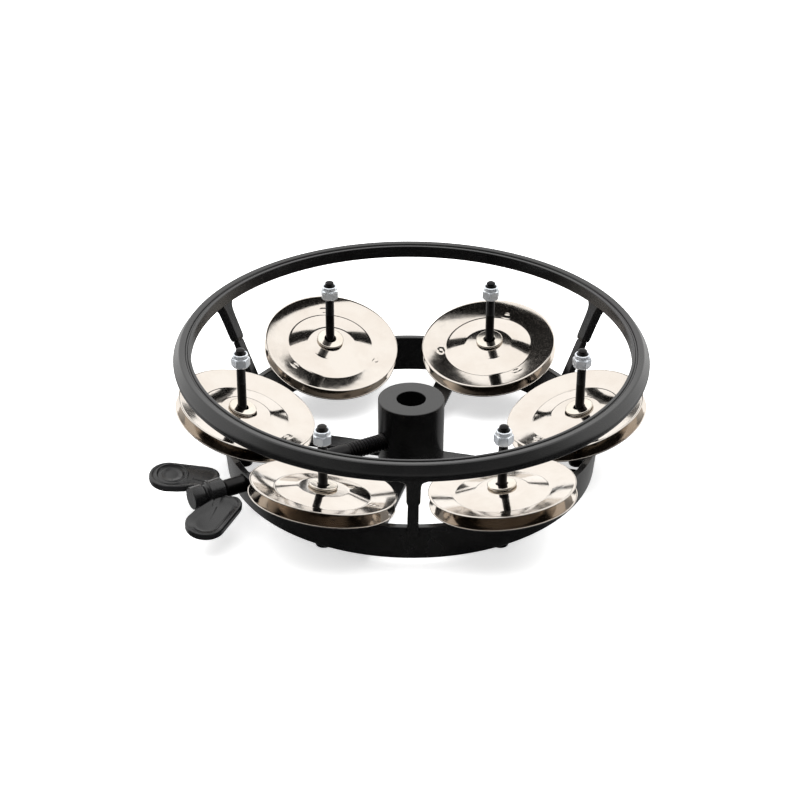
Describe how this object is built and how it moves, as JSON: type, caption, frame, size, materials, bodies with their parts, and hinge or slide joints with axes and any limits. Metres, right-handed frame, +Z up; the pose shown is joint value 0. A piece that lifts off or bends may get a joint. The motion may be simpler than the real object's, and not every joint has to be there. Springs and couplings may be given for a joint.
{
  "type": "hi-hat tambourine",
  "caption": "Round black tambourine without a skin: loose metal jingle pairs on upright screws between a moulded band and a hoop, clamped to a rod by a wing screw.",
  "frame": {"origin": "on the axis of the hub's bore, in the plane of the screw heads that the part stands on", "axes": "+Z up along the bore, +X towards the jingle pair on the right, -Y towards the post in front; the clamp screw lies at 210 degrees from +X"},
  "size_m": [0.2094, 0.2, 0.0596],
  "materials": {
    "moulded_black": "satin",
    "moulded_black_wing": "satin",
    "black_oxide_steel": "satin",
    "zinc_steel": "polished",
    "black_nylon": "matt",
    "nickel_washer": "polished",
    "nickel_jingle": "polished",
    "brass_insert": "machined"
  },
  "bodies": {
    "frame": {"upper_hoop": "moulded_black", "lower_frame": "moulded_black", "threaded_insert": "brass_insert", "jingle_screw_1": "black_oxide_steel", "jingle_screw_2": "black_oxide_steel", "jingle_screw_3": "black_oxide_steel", "jingle_screw_4": "black_oxide_steel", "jingle_screw_5": "black_oxide_steel", "jingle_screw_6": "black_oxide_steel", "lock_nut_1": "zinc_steel", "lock_nut_2": "zinc_steel", "lock_nut_3": "zinc_steel", "lock_nut_4": "zinc_steel", "lock_nut_5": "zinc_steel", "lock_nut_6": "zinc_steel", "nylon_ring_1": "black_nylon", "nylon_ring_2": "black_nylon", "nylon_ring_3": "black_nylon", "nylon_ring_4": "black_nylon", "nylon_ring_5": "black_nylon", "nylon_ring_6": "black_nylon"},
    "jingle_lower_1": {"jingle_lower_1": "nickel_jingle"},
    "jingle_upper_1": {"jingle_upper_1": "nickel_jingle"},
    "washer_1": {"washer_1": "nickel_washer"},
    "jingle_lower_2": {"jingle_lower_2": "nickel_jingle"},
    "jingle_upper_2": {"jingle_upper_2": "nickel_jingle"},
    "washer_2": {"washer_2": "nickel_washer"},
    "jingle_lower_3": {"jingle_lower_3": "nickel_jingle"},
    "jingle_upper_3": {"jingle_upper_3": "nickel_jingle"},
    "washer_3": {"washer_3": "nickel_washer"},
    "jingle_lower_4": {"jingle_lower_4": "nickel_jingle"},
    "jingle_upper_4": {"jingle_upper_4": "nickel_jingle"},
    "washer_4": {"washer_4": "nickel_washer"},
    "jingle_lower_5": {"jingle_lower_5": "nickel_jingle"},
    "jingle_upper_5": {"jingle_upper_5": "nickel_jingle"},
    "washer_5": {"washer_5": "nickel_washer"},
    "jingle_lower_6": {"jingle_lower_6": "nickel_jingle"},
    "jingle_upper_6": {"jingle_upper_6": "nickel_jingle"},
    "washer_6": {"washer_6": "nickel_washer"},
    "clamp_screw": {"clamp_screw": "black_oxide_steel"},
    "wing_head": {"wing_head": "moulded_black_wing"}
  },
  "joints": [
    {"name": "lower_jingle_1_lift", "type": "slide", "parent": "frame", "child": "jingle_lower_1", "axis": [0, 0, 1], "range_m": [0, 0.0085]},
    {"name": "upper_jingle_1_lift", "type": "slide", "parent": "jingle_lower_1", "child": "jingle_upper_1", "axis": [0, 0, 1], "range_m": [0, 0.005]},
    {"name": "washer_1_lift", "type": "slide", "parent": "jingle_upper_1", "child": "washer_1", "axis": [0, 0, 1], "range_m": [0, 0.002]},
    {"name": "lower_jingle_2_lift", "type": "slide", "parent": "frame", "child": "jingle_lower_2", "axis": [0, 0, 1], "range_m": [0, 0.0085]},
    {"name": "upper_jingle_2_lift", "type": "slide", "parent": "jingle_lower_2", "child": "jingle_upper_2", "axis": [0, 0, 1], "range_m": [0, 0.005]},
    {"name": "washer_2_lift", "type": "slide", "parent": "jingle_upper_2", "child": "washer_2", "axis": [0, 0, 1], "range_m": [0, 0.002]},
    {"name": "lower_jingle_3_lift", "type": "slide", "parent": "frame", "child": "jingle_lower_3", "axis": [0, 0, 1], "range_m": [0, 0.0085]},
    {"name": "upper_jingle_3_lift", "type": "slide", "parent": "jingle_lower_3", "child": "jingle_upper_3", "axis": [0, 0, 1], "range_m": [0, 0.005]},
    {"name": "washer_3_lift", "type": "slide", "parent": "jingle_upper_3", "child": "washer_3", "axis": [0, 0, 1], "range_m": [0, 0.002]},
    {"name": "lower_jingle_4_lift", "type": "slide", "parent": "frame", "child": "jingle_lower_4", "axis": [0, 0, 1], "range_m": [0, 0.0085]},
    {"name": "upper_jingle_4_lift", "type": "slide", "parent": "jingle_lower_4", "child": "jingle_upper_4", "axis": [0, 0, 1], "range_m": [0, 0.005]},
    {"name": "washer_4_lift", "type": "slide", "parent": "jingle_upper_4", "child": "washer_4", "axis": [0, 0, 1], "range_m": [0, 0.002]},
    {"name": "lower_jingle_5_lift", "type": "slide", "parent": "frame", "child": "jingle_lower_5", "axis": [0, 0, 1], "range_m": [0, 0.0085]},
    {"name": "upper_jingle_5_lift", "type": "slide", "parent": "jingle_lower_5", "child": "jingle_upper_5", "axis": [0, 0, 1], "range_m": [0, 0.005]},
    {"name": "washer_5_lift", "type": "slide", "parent": "jingle_upper_5", "child": "washer_5", "axis": [0, 0, 1], "range_m": [0, 0.002]},
    {"name": "lower_jingle_6_lift", "type": "slide", "parent": "frame", "child": "jingle_lower_6", "axis": [0, 0, 1], "range_m": [0, 0.0085]},
    {"name": "upper_jingle_6_lift", "type": "slide", "parent": "jingle_lower_6", "child": "jingle_upper_6", "axis": [0, 0, 1], "range_m": [0, 0.005]},
    {"name": "washer_6_lift", "type": "slide", "parent": "jingle_upper_6", "child": "washer_6", "axis": [0, 0, 1], "range_m": [0, 0.002]},
    {"name": "clamp_screw_advance", "type": "slide", "parent": "frame", "child": "clamp_screw", "axis": [-0.866, -0.5, 0], "range_m": [-0.0022, 0.008]},
    {"name": "wing_turn", "type": "hinge", "parent": "clamp_screw", "child": "wing_head", "pos_m": [0, 0, 0.0152], "axis": [-0.866, -0.5, 0], "range_deg": [-535, 1927]}
  ],
  "couplings": [
    {"joint": "wing_turn", "follows": "clamp_screw_advance", "rad_per_m": 4188.8}
  ]
}
